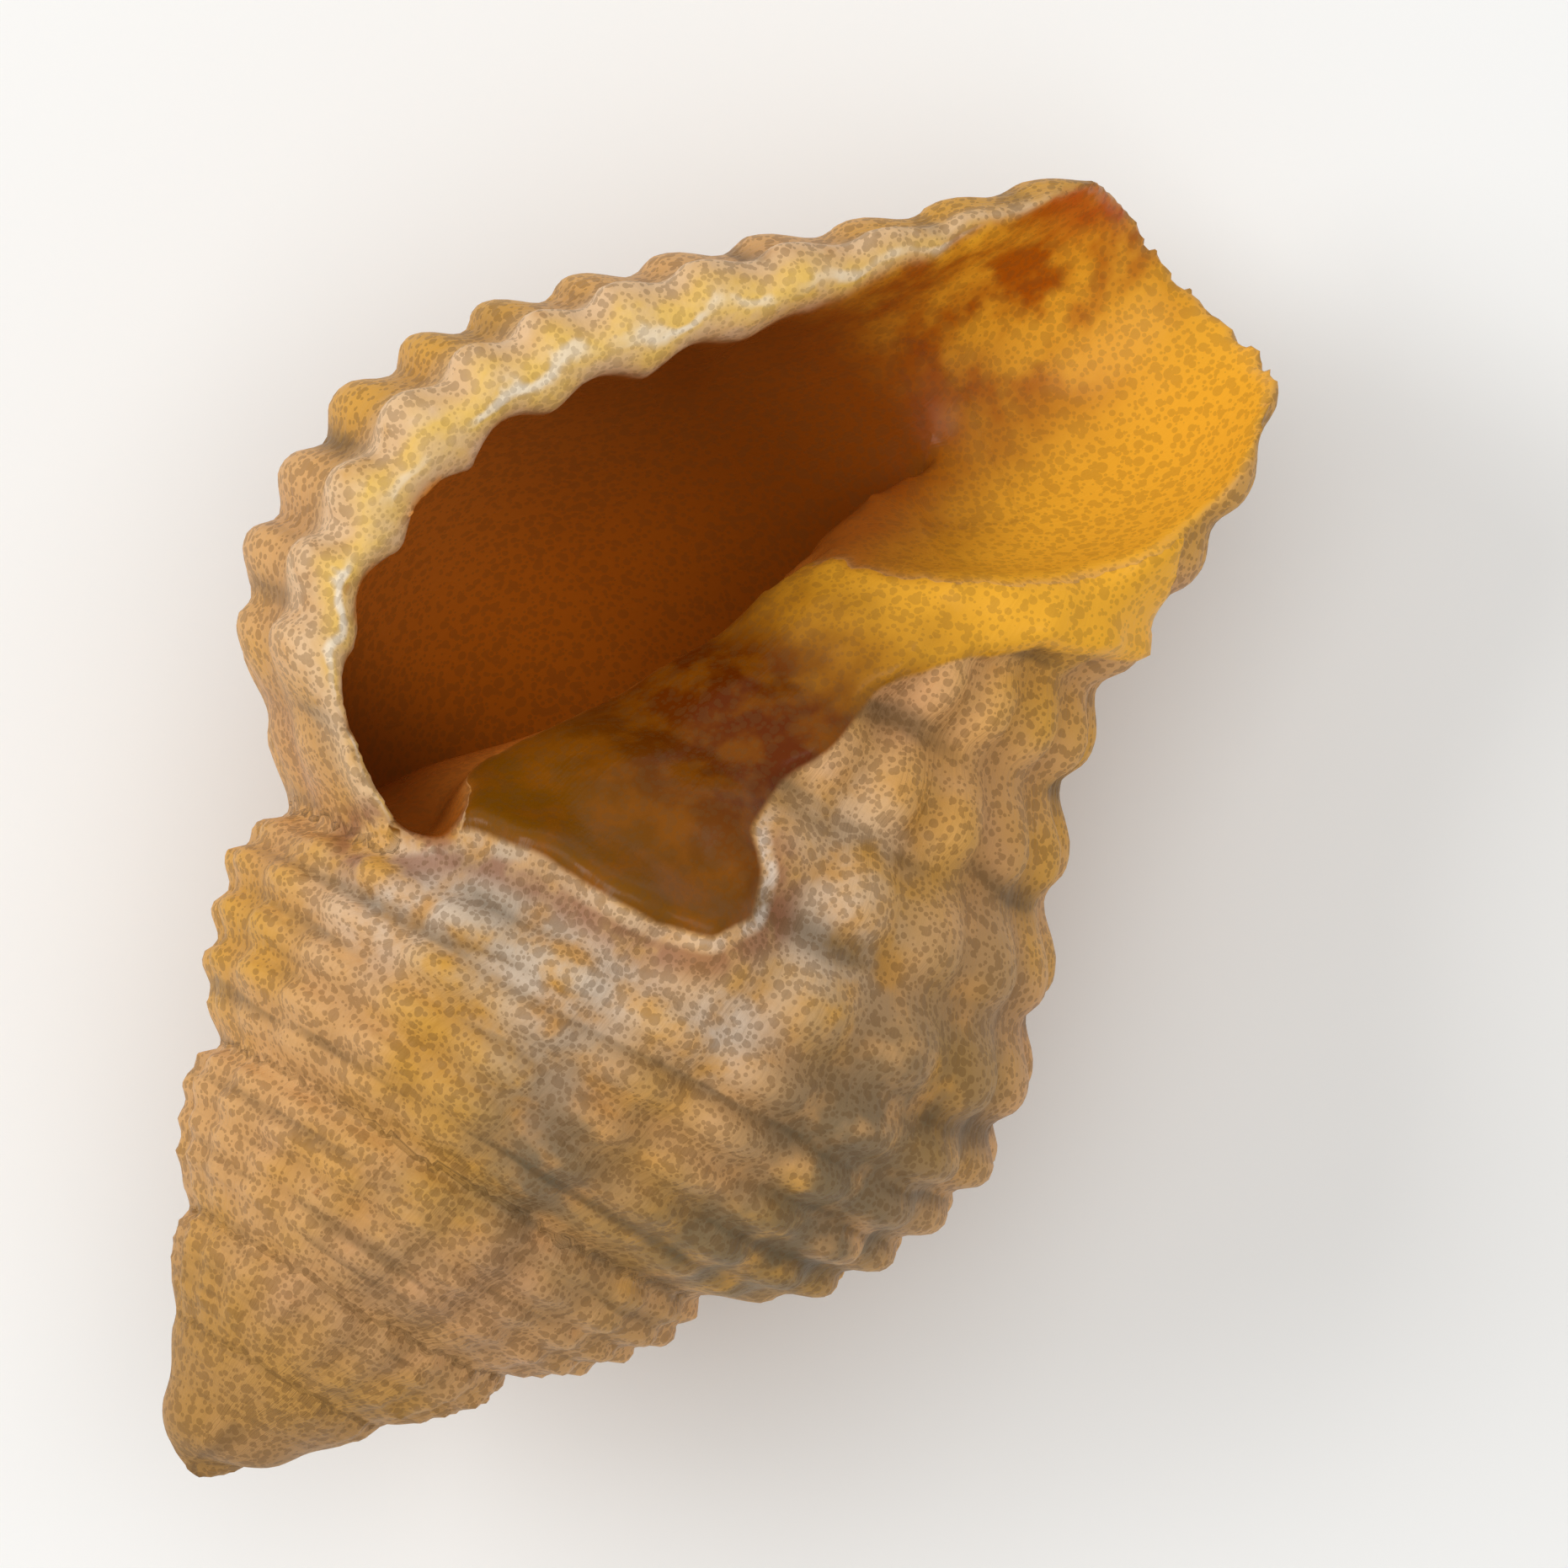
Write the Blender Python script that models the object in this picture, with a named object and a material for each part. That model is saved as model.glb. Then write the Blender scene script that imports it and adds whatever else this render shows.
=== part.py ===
import math

import bmesh
import bpy
import numpy as np
from mathutils import Matrix, Vector

# Dogwhelk shell lying on its back, aperture up. Lengths below are millimetres.
# While it is modelled, the apex is at 0 and the coiling axis runs along +X to the siphonal end.
# Angles turn from +Y toward +Z, which is the way a right-handed shell grows.
MM = 0.001
SHELL_LENGTH = 28.0

# Coil
WHORL_GROWTH = 1.62          # size of one whorl over the one before
SUTURE_AT_LIP = 11.27        # from the apex to where the suture ends at the lip
LIP_ANGLE = math.radians(25.0)
LIP_SWEEP = math.radians(21.0)       # how far the lip climbs on at its corner
SWEEP_TURN = math.radians(42.0)
SWEEP_LENGTH = 0.13          # share of the distance from the apex
TURNS = 3.5                  # whorls above the last one; the tip above them is one cap
TIP = 0.3                    # the cap's own point, from the apex of the spiral
SMOOTH_TIP = 1.6             # no sculpture nearer the apex than this

# Sculpture
COLUMNS = 61                 # per whorl; a rib takes three of them
RIB_COLUMNS = 3
SPIRE_CORDS = 5
BASE_CORDS = 8
ROWS_PER_CORD = 2
RIB_HEIGHT = 0.50            # at the widest part of the last whorl
CORD_HEIGHT = 0.22
SUTURE_DEPTH = 0.115         # share of the radius
SUTURE_WIDTH = 0.13          # share of the whorl's height
RELIEF_SUNK = 0.42           # how far the grooves lie under the outline
VARIX_HEIGHT = 0.40
VARIX_BACK = math.radians(26.0)
VARIX_WIDTH = math.radians(12.0)
VARIX_START = 2.0            # it rises over this length below the suture
NOTCH_SMOOTHS = 0.6          # how far the relief dies out in the suture
NOTCH_FADE = math.radians(18.0)      # past the lip, nothing covers the last whorl
SPIRE_FADE = math.radians(60.0)      # the spire's outline passes into the last whorl's
SPIRE_END = 11.3
SPIRE_STEP = 1.3
WIDEST = 14.5                # from the apex
END_BEGINS = 19.0            # from here the beads get finer toward the siphonal end
FINER_AT_END = 0.55

# The last whorl's radius along the axis, looking at it from five sides
STATIONS = (6.5, 9.0, 11.3, 13.0, 15.0, 17.0, 19.0, 21.0, 23.0, 25.0, 27.0, 28.0)
SIDES = {
    25.0: (4.60, 5.85, 6.05, 5.10, 3.60, 2.50, 1.95, 1.70, 1.55, 1.45, 1.20, 0.80),
    90.0: (4.60, 5.95, 6.60, 6.35, 5.20, 3.70, 2.80, 2.35, 2.10, 1.90, 1.50, 1.00),
    180.0: (4.60, 6.20, 7.30, 7.55, 7.05, 6.00, 4.75, 4.10, 4.00, 3.90, 3.20, 2.20),
    270.0: (4.60, 6.20, 7.40, 7.95, 8.00, 7.40, 6.30, 5.10, 4.20, 3.70, 3.00, 2.00),
    385.0: (4.60, 6.20, 6.90, 8.60, 9.40, 9.60, 9.10, 7.90, 6.20, 4.20, 2.40, 1.45),
}

# Hollow whorl: its section where it opens at the lip, (from the apex, from the axis)
MOUTH = (
    (11.8, 5.30), (12.2, 6.60), (13.2, 7.45), (15.0, 8.05), (17.0, 8.10), (18.7, 7.60),
    (20.4, 6.55), (22.0, 5.40), (23.6, 4.20), (25.2, 3.00), (26.6, 1.90), (26.8, 1.20),
    (25.2, 0.95), (23.4, 1.05), (21.6, 1.15), (19.8, 1.35), (18.0, 1.75), (16.2, 2.45),
    (14.6, 3.35), (13.2, 4.40),
)
HOLLOW_TURNS = 1.35
HOLLOW_STEPS = 26
MOUTH_AHEAD = (10.0, 24.0, 38.0)     # degrees that the cutter runs on in front of the lip
MOUTH_LIFT = (0.45, 1.20, 2.2)       # how far it rises off the whorl below there

# Siphonal canal: an open trough, (from the apex, across, up, half width, half height)
CANAL = (
    (18.8, 3.6, 2.6, 0.9, 0.8),
    (20.4, 2.5, 2.4, 2.2, 2.0),
    (22.4, 0.9, 2.1, 3.2, 3.2),
    (24.6, -0.2, 1.8, 3.3, 3.8),
    (26.8, -0.7, 1.6, 2.8, 3.7),
    (29.2, -1.1, 1.4, 2.3, 4.0),
)
CANAL_SIDES = 16

# The pose in which it rests on its back, on beads that are worn level with each other
ROLL = math.radians(3.5)
PITCH = math.radians(0.0)
WORN = 0.35
SHELL_COLOUR = (0.58, 0.33, 0.12, 1.0)


def curve_through(places, values, at):
    """A smooth curve through the given values, read at one or more places."""
    places, values = np.asarray(places, float), np.asarray(values, float)
    slopes = np.gradient(values, places)
    at = np.clip(at, places[0], places[-1])
    k = np.clip(np.searchsorted(places, at, side="right") - 1, 0, len(places) - 2)
    width = places[k + 1] - places[k]
    x = (at - places[k]) / width
    return ((1 + 2 * x) * (1 - x) ** 2 * values[k] + x * (1 - x) ** 2 * width * slopes[k]
            + x * x * (3 - 2 * x) * values[k + 1] + x * x * (x - 1) * width * slopes[k + 1])


def growth(turn):
    """Size at a turn angle, where 0 is the lip and earlier growth is negative."""
    return WHORL_GROWTH ** (turn / math.tau)


def spire_radius(along):
    return 0.755 * along - 0.00125 * along ** 3


def body_radius(along, turn):
    """Radius of the last whorl; turn runs from -360 degrees to 0 at the lip."""
    side = math.degrees(turn + LIP_ANGLE) + 360.0
    radii = [curve_through(STATIONS, radius, along) for radius in SIDES.values()]
    return curve_through(tuple(SIDES), radii, side)


def suture_notch(across):
    return math.exp(-(across / SUTURE_WIDTH) ** 2)


def clamped(value):
    return max(0.0, min(1.0, value))


def below_tip(along):
    """0 on the smooth tip, and 1 where the sculpture has come up to its full height."""
    return clamped((along - SMOOTH_TIP) / SMOOTH_TIP)


def bead_relief(turn, cord, along):
    """Ribs along the shell and cords around it, which make a bead where they cross."""
    rib_turn = RIB_COLUMNS * math.tau / COLUMNS
    rib = 0.5 + 0.5 * math.cos(math.tau * turn / rib_turn)
    ridge = 0.5 - 0.5 * math.cos(math.tau * cord)
    size = min(1.0, along / WIDEST) ** 0.8 * below_tip(along)
    size *= 1.0 - FINER_AT_END * clamped((along - END_BEGINS) / (SHELL_LENGTH - END_BEGINS))
    return size * (RIB_HEIGHT * rib * (0.35 + 0.65 * ridge) + CORD_HEIGHT * ridge - RELIEF_SUNK)


def corner_reach(turn, along):
    """1 at the corner where the lip meets the whorl above it, and 0 far from there."""
    length = math.log(along / SUTURE_AT_LIP) / SWEEP_LENGTH
    return math.exp(-(turn / SWEEP_TURN) ** 2 - length ** 2)


def skin_point(turn, across, cord, share=0.0):
    """A point of the outside: across is 0 at a whorl's upper suture and 1 at its lower one,
    and share runs on from there to 1 at the siphonal end."""
    last_start = -math.tau
    along = SUTURE_AT_LIP * growth(turn) * WHORL_GROWTH ** across
    along += (SHELL_LENGTH - along) * share
    for corner_turn in (0.0, last_start):
        turn += LIP_SWEEP * corner_reach(turn - corner_turn, along)
    if turn <= last_start and share == 0.0:
        radius = spire_radius(along)
        covered = 1.0
    else:
        since_start = turn - last_start
        spire = clamped(1.0 - since_start / SPIRE_FADE) * clamped((SPIRE_END - along) / SPIRE_STEP)
        radius = body_radius(along, min(turn, 0.0))
        radius += (spire_radius(along) - radius) * spire
        covered = clamped(1.0 - since_start / NOTCH_FADE) * (share == 0.0)
    notch = suture_notch(across) + covered * suture_notch(across - 1.0)
    notch *= below_tip(along)
    radius *= 1.0 - SUTURE_DEPTH * notch
    varix = math.exp(-((turn + VARIX_BACK) / VARIX_WIDTH) ** 2) * (1.0 - share)
    varix *= clamped((along - SUTURE_AT_LIP) / VARIX_START)
    radius += NOTCH_SMOOTHS * bead_relief(turn, cord, along) * (1.0 - notch)
    radius += (1.0 - NOTCH_SMOOTHS) * bead_relief(turn, cord, along) + VARIX_HEIGHT * varix
    angle = turn + LIP_ANGLE
    return Vector((along, radius * math.cos(angle), radius * math.sin(angle))) * MM


def closed_mesh(name, bm):
    bmesh.ops.recalc_face_normals(bm, faces=bm.faces)
    if bm.calc_volume(signed=True) < 0:
        bmesh.ops.reverse_faces(bm, faces=bm.faces)
    mesh = bpy.data.meshes.new(name)
    bm.to_mesh(mesh)
    bm.free()
    obj = bpy.data.objects.new(name, mesh)
    bpy.context.collection.objects.link(obj)
    return obj


def grow_whorls():
    """One strip from suture to suture, wound down from the tip, whose lower edge is the
    next turn's upper edge. Its last turn runs on over the base to the siphonal end."""
    rows = SPIRE_CORDS * ROWS_PER_CORD
    base_rows = BASE_CORDS * ROWS_PER_CORD
    last = round(COLUMNS * (TURNS + 1))
    first_body = last - COLUMNS
    bm = bmesh.new()
    grid = {}
    for column in range(last + 1):
        turn = math.tau * (column - last) / COLUMNS
        for row in range(rows):
            across = row / rows
            grid[column, row] = bm.verts.new(skin_point(turn, across, SPIRE_CORDS * across))
    for column in range(first_body, last + 1):
        turn = math.tau * (column - last) / COLUMNS
        for row in range(base_rows + 1):
            if column == first_body and row == 0:
                continue
            share = row / base_rows
            cord = SPIRE_CORDS + BASE_CORDS * share
            grid[column, rows + row] = bm.verts.new(
                skin_point(turn, 1.0, cord, share))
    for column in range(first_body + 1):
        grid[column, rows] = grid[column + COLUMNS, 0]
    for column in range(last):
        depth = rows if column < first_body else rows + base_rows
        for row in range(depth):
            bm.faces.new((grid[column, row], grid[column, row + 1],
                          grid[column + 1, row + 1], grid[column + 1, row]))
    tip = bm.verts.new(Vector((TIP, 0.0, 0.0)) * MM)
    top = [grid[column, 0] for column in range(COLUMNS + 1)]
    top += [grid[0, row] for row in range(rows - 1, -1, -1)]
    for one, other in zip(top, top[1:]):
        bm.faces.new((one, other, tip))
    lip = [grid[last, row] for row in range(rows + base_rows + 1)]
    inner_lip = [grid[first_body, row] for row in range(rows + 1, rows + base_rows + 1)]
    bm.faces.new(lip + inner_lip[::-1])
    bm.faces.new([grid[column, rows + base_rows] for column in range(first_body, last + 1)])
    return closed_mesh("shell", bm)


def tube(name, rings):
    """A closed tube through rings of points."""
    bm = bmesh.new()
    loops = [[bm.verts.new(Vector(point) * MM) for point in ring] for ring in rings]
    for one, other in zip(loops, loops[1:]):
        for k in range(len(one)):
            n = (k + 1) % len(one)
            bm.faces.new((one[k], one[n], other[n], other[k]))
    bm.faces.new(loops[0])
    bm.faces.new(loops[-1])
    obj = closed_mesh(name, bm)
    obj.hide_render = True
    obj.display_type = "WIRE"
    return obj


def mouth_ring(turn, lift):
    size = growth(turn)
    ring = []
    for along, radius in MOUTH:
        along, radius = along * size, radius * size + lift
        angle = turn + LIP_ANGLE + LIP_SWEEP * corner_reach(turn, along)
        ring.append((along, radius * math.cos(angle), radius * math.sin(angle)))
    return ring


def hollow_whorl():
    rings = [mouth_ring(math.radians(ahead), lift)
             for ahead, lift in zip(MOUTH_AHEAD[::-1], MOUTH_LIFT[::-1])]
    for step in range(HOLLOW_STEPS + 1):
        rings.append(mouth_ring(-math.tau * HOLLOW_TURNS * step / HOLLOW_STEPS, 0.0))
    return tube("hollow", rings)


def canal_trough():
    rings = []
    for along, across, up, half_width, half_height in CANAL:
        rings.append([])
        for k in range(CANAL_SIDES):
            angle = math.tau * k / CANAL_SIDES
            rings[-1].append((along, across + half_width * math.cos(angle),
                              up + half_height * math.sin(angle)))
    return tube("canal", rings)


def cut(obj, cutter):
    modifier = obj.modifiers.new(cutter.name, "BOOLEAN")
    modifier.operation = "DIFFERENCE"
    modifier.solver = "EXACT"
    modifier.object = cutter


def lay_down(shell, cutters):
    """Turns everything into the pose in which the shell rests, wears down the beads that
    it rests on, and brings the middle of its underside to the origin."""
    turn = Matrix.Rotation(PITCH, 4, "Y") @ Matrix.Rotation(ROLL, 4, "X")
    for obj in (shell, *cutters):
        obj.data.transform(turn)
    points = [vertex.co for vertex in shell.data.vertices]
    low = Vector([min(point[k] for point in points) for k in range(3)])
    high = Vector([max(point[k] for point in points) for k in range(3)])
    floor = low.z + WORN * MM
    for point in points:
        point.z = max(point.z, floor)
    shift = Vector((-(low.x + high.x) / 2, -(low.y + high.y) / 2, -floor))
    for obj in (shell, *cutters):
        obj.data.transform(Matrix.Translation(shift))


def paint(obj):
    material = bpy.data.materials.new("aragonite")
    material.use_nodes = True
    shader = material.node_tree.nodes["Principled BSDF"]
    shader.inputs["Base Color"].default_value = SHELL_COLOUR
    shader.inputs["Roughness"].default_value = 0.45
    shader.inputs["Metallic"].default_value = 0.0
    obj.data.materials.append(material)


def main():
    for obj in list(bpy.data.objects):
        bpy.data.objects.remove(obj, do_unlink=True)
    shell = grow_whorls()
    hollow = hollow_whorl()
    canal = canal_trough()
    lay_down(shell, (hollow, canal))
    cut(shell, hollow)
    cut(shell, canal)
    paint(shell)


main()
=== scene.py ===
import math

import bpy
import numpy as np
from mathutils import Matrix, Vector
from mathutils.bvhtree import BVHTree
from mathutils.kdtree import KDTree


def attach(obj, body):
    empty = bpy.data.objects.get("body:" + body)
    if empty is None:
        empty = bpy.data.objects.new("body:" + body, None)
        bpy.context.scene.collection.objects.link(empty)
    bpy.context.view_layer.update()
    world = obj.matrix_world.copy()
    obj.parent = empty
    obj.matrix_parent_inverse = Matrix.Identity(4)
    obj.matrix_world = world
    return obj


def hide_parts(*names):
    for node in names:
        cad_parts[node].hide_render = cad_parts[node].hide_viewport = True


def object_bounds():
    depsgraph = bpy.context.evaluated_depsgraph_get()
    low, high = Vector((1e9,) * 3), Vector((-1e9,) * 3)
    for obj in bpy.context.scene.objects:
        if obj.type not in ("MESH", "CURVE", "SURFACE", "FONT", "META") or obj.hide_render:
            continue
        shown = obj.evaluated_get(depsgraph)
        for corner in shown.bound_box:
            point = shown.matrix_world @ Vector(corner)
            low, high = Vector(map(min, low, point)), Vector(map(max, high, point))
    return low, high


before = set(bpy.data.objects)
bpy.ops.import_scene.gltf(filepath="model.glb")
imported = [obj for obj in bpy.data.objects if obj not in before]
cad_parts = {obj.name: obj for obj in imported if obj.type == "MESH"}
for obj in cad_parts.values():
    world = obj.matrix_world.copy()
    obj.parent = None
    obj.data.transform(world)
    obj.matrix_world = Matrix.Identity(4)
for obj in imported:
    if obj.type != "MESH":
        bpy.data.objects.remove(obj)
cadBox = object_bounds()

# The shell is modelled in millimetres with its apex at 0 and its coiling axis along +X, and
# it is laid down in the frame at the end. Angles turn from +Y toward +Z, as the shell grows.
metresPerMm = 0.001

coil = {
    "length": 28.0,         # apex to siphonal end
    "growth": 1.62,         # size of one whorl over the one before
    "sutureAtLip": 11.27,   # where the suture ends, from the apex
    "lipAngle": math.radians(25.0),
    "lipSweep": math.radians(21.0),   # how far the lip climbs on at its corner
    "sweepTurn": math.radians(42.0),
    "sweepLength": 0.13,
    "columns": 61,          # in each whorl; a rib takes three
    "allColumns": 274,      # from the smooth tip to the lip
    "spireRows": 10,
    "baseRows": 16,
    "finer": 3,             # cuts made in every edge when the coil is refined
    "tip": 0.3,             # the rounded apex stops this short of 0
    "domeSteps": 6,
    "spireSlope": 0.755,    # the spire's radius for every mm along it
    "spireCurve": 0.00125,  # and what goes off again, with the cube of the distance
    "spireFade": math.radians(60.0),  # the spire's outline passes into the last whorl's
    "spireEnd": 11.3,
    "spireEndWidth": 1.3,
    "notchFade": math.radians(18.0),  # past the lip, nothing covers the last whorl
}

# The last whorl's radius along the axis, looking at it from five sides
stations = (6.5, 9.0, 11.3, 13.0, 15.0, 17.0, 19.0, 21.0, 23.0, 25.0, 27.0, 28.0)
sides = {
    25.0: (4.60, 5.85, 6.05, 5.10, 3.60, 2.50, 1.95, 1.70, 1.55, 1.45, 1.20, 0.80),
    90.0: (4.60, 5.95, 6.60, 6.35, 5.20, 3.70, 2.80, 2.35, 2.10, 1.90, 1.50, 1.00),
    180.0: (4.60, 6.20, 7.30, 7.55, 7.05, 6.00, 4.75, 4.10, 4.00, 3.90, 3.20, 2.20),
    270.0: (4.60, 6.20, 7.40, 7.95, 8.00, 7.40, 6.30, 5.10, 4.20, 3.70, 3.00, 2.00),
    385.0: (4.60, 6.20, 6.90, 8.60, 9.40, 9.60, 9.10, 7.90, 6.20, 4.20, 2.40, 1.45),
}

sculpture = {
    "spireCords": 5,
    "baseCords": 8,
    "ribHeight": 0.42,
    "cordHeight": 0.21,
    "sunk": 0.39,           # how far the grooves lie under the outline
    "betweenCords": 0.35,   # share of a rib's height that is left between two cords
    "ribWander": 0.05,      # share of a rib's spacing
    "uneven": 0.10,         # share by which one bead differs from the next
    "smoothTip": 1.6,       # no beads nearer the apex than this
    "sutureDepth": 0.115,   # share of the radius
    "sutureWidth": 0.13,    # share of the whorl's height
    "sutureSmooths": 0.6,   # share of the relief that the suture takes away
    "varixHeight": 0.40,    # the swelling behind the lip
    "varixBack": math.radians(26.0),
    "varixWidth": math.radians(12.0),
    "varixRise": 2.0,       # it comes up over this length below the suture
    "widest": 14.5,         # from here the beads have their full size
    "sizePower": 0.55,
    "endBegins": 19.0,
    "finerAtEnd": 0.55,     # share by which the beads get lower toward the siphonal end
}

# The aperture: its outline where it opens at the lip, as distance from the apex and from the axis
mouth = {
    "outline": (
        (11.8, 5.40), (12.1, 6.85), (13.1, 7.80), (15.0, 8.25), (17.0, 8.25), (18.7, 7.75),
        (20.4, 6.65), (22.0, 5.45), (23.6, 4.20), (25.2, 3.00), (26.6, 1.90), (26.8, 1.20),
        (25.2, 0.95), (23.4, 1.05), (21.6, 1.15), (19.8, 1.35), (18.0, 1.75), (16.2, 2.45),
        (14.6, 3.35), (13.2, 4.40),
    ),
    "points": 200,          # around the outline
    "turns": 1.35,          # how far back the whorl is hollow
    "steps": 130,
    "ahead": (10.0, 24.0, 38.0),      # degrees that the cutter runs on in front of the lip
    "lift": (0.45, 1.20, 2.2),        # how far it rises off the whorl below there
    "aheadRings": 13,
    "teeth": (1.2, 10.6),   # where on the outline the lip carries teeth, counted in its points
    "toothSpacing": 1.85,
    "toothHeight": 0.46,
    "toothRun": math.radians(38.0),   # how far the teeth run back into the whorl
    "folds": (11.6, 15.2),  # where the columella carries folds
    "foldSpacing": 1.25,
    "foldHeight": 0.20,
    "toothBreadth": 0.6,    # under 1 is a narrow ridge beside a wide groove
    "toothAtEdge": 0.9,     # share of a tooth's height in front of the lip
    "wallBack": 0.85,       # the wall is this much thicker behind the lip
    "wallRuns": 3.0,        # it gets there over so many times the run of the teeth
    "seenBack": 0.45,       # whorls; farther back nothing is seen
}

# Siphonal canal, an open trough: along, across, up, half width, half height
canal = {
    "stations": (
        (18.8, 3.6, 2.6, 0.9, 0.8),
        (20.4, 2.5, 2.4, 2.2, 2.0),
        (22.4, 0.9, 2.1, 3.2, 3.2),
        (24.6, -0.2, 1.8, 3.3, 3.8),
        (26.8, -0.7, 1.6, 2.8, 3.7),
        (29.2, -1.1, 1.4, 2.3, 4.0),
    ),
    "sides": 64,
    "steps": 60,
}

# Callus, the smooth glaze over the whorl beside the aperture: its edge seen from above,
# as distance from the apex and distance from the axis, away from the lip
callus = {
    "edge": (
        (11.2, -4.3), (12.4, -3.0), (12.8, -1.9), (12.9, -0.9), (13.1, 0.4), (13.5, 1.3),
        (14.2, 1.6), (14.9, 1.3), (15.4, 0.7), (16.3, 0.6), (17.3, 0.9), (18.6, 0.9),
        (19.8, 1.6), (20.9, 2.6), (21.9, 4.3),
    ),
    "rest": ((25.0, 3.0), (25.0, -2.0), (20.0, -5.0), (14.0, -7.0), (11.2, -5.4)),
    "thickness": 0.16,
    "ridge": 0.26,          # how far its edge stands up over it
    "ridgeWidth": 0.40,
    "lastTurn": -2.0,       # radians; nearer the lip there is none
    "fade": 0.35,           # its edge comes up over this width
    "lead": 0.3,
    "overhang": 0.15,
    "passes": 50,           # how often the beads under it are smoothed, and how strongly
    "strength": 0.95,
    "risePasses": 3,
}

# Dull patches of dirt, and painted shade toward the lower right edge, in the same two distances, with
# their size in mm and strength
smudgesAndShade = (
    (12.0, -1.7, 1.4, 0.5), (9.7, 1.0, 1.7, 0.6), (13.2, 5.0, 1.9, 0.7), (8.3, 1.6, 1.3, 0.6),
    (7.0, 3.5, 2.2, 0.35), (16.5, 5.8, 2.0, 0.4), (13.5, 7.5, 2.0, 0.4), (9.1, 5.6, 1.2, 0.5),
    (9.3, 4.3, 1.0, 0.8), (10.7, 6.3, 1.5, 0.9), (11.7, 4.6, 1.0, 0.4), (6.6, -0.4, 1.1, 0.3),
    (4.7, 1.0, 1.5, 0.35),
)
# Pale patches, painted highlights on the whorl beside the callus, in the same way
paleHighlightSpots = (
    (10.7, -3.4, 1.1, 1.0), (11.8, 0.2, 1.1, 1.0), (12.4, 2.4, 0.8, 1.0), (11.4, -1.2, 1.0, 1.0),
    (16.3, 2.0, 1.2, 0.5), (14.6, 2.9, 1.1, 0.8), (10.0, 0.3, 0.9, 0.5), (12.0, -2.8, 0.9, 1.0),
)

spotFade = 1.5              # smudges and patches come in over this height above the axis

rest = {
    "roll": math.radians(3.5),
    "lean": 0.0002,         # metres that the apex bends toward the lip's side
    "leanFrom": 11.0,
    "leanOver": 6.0,
}
reskinSize = 0.155          # mm between points of the finished surface
faceLimit = 196000          # triangles


def smoothCurve(places, values, at):
    # a smooth curve through the values, which may be one row or one column for each point
    places = np.asarray(places, float)
    values = np.asarray(values, float)
    slopes = np.gradient(values, places, axis=0)
    at = np.clip(at, places[0], places[-1])
    k = np.clip(np.searchsorted(places, at, side="right") - 1, 0, len(places) - 2)
    width = places[k + 1] - places[k]
    x = (at - places[k]) / width

    def pick(table, row):
        return table[row] if table.ndim == 1 else table[row, np.arange(len(row))]

    return ((1 + 2 * x) * (1 - x) ** 2 * pick(values, k)
            + x * (1 - x) ** 2 * width * pick(slopes, k)
            + x * x * (3 - 2 * x) * pick(values, k + 1)
            + x * x * (x - 1) * width * pick(slopes, k + 1))


def clamped(value):
    return np.clip(value, 0.0, 1.0)


def growthAt(turn):
    return coil["growth"] ** (turn / math.tau)


def spireRadius(along):
    return coil["spireSlope"] * along - coil["spireCurve"] * along ** 3


def bodyRadius(along, turn):
    side = np.degrees(turn + coil["lipAngle"]) + 360.0
    rows = np.array([smoothCurve(stations, radius, along) for radius in sides.values()])
    return smoothCurve(tuple(sides), rows, side)


def belowTip(along):
    return clamped((along - sculpture["smoothTip"]) / sculpture["smoothTip"])


def rounded(wave, breadth=1.5):
    # 1 on a broad round top and 0 in a narrow groove, once in every whole number
    return 1.0 - (0.5 - 0.5 * np.cos(math.tau * wave)) ** breadth


def unevenness(turn, cord):
    # beads of a real shell differ a little, in a way that never repeats
    return (np.sin(5.3 * turn + 1.7 * cord) + np.sin(2.1 * turn - 3.9 * cord + 1.0)
            + np.sin(11.7 * turn + 0.6 * cord + 2.0)) / 3.0


def beadRelief(turn, cord, along):
    wander = sculpture["ribWander"] * np.sin(3.1 * turn + 0.8 * cord)
    ribs = turn / math.tau * coil["columns"] / 3 + wander
    rib = rounded(ribs)
    ridge = rounded(cord + 0.5)
    size = np.minimum(1.0, along / sculpture["widest"]) ** sculpture["sizePower"] * belowTip(along)
    toEnd = clamped((along - sculpture["endBegins"]) / (coil["length"] - sculpture["endBegins"]))
    size = size * (1.0 - sculpture["finerAtEnd"] * toEnd)
    low = sculpture["betweenCords"]
    bead = sculpture["ribHeight"] * rib * (low + (1.0 - low) * ridge)
    bead = bead * (1.0 + sculpture["uneven"] * unevenness(turn, cord))
    return size * (bead + sculpture["cordHeight"] * ridge - sculpture["sunk"])


def cornerReach(turn, along):
    length = np.log(along / coil["sutureAtLip"]) / coil["sweepLength"]
    return np.exp(-(turn / coil["sweepTurn"]) ** 2 - length ** 2)


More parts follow.
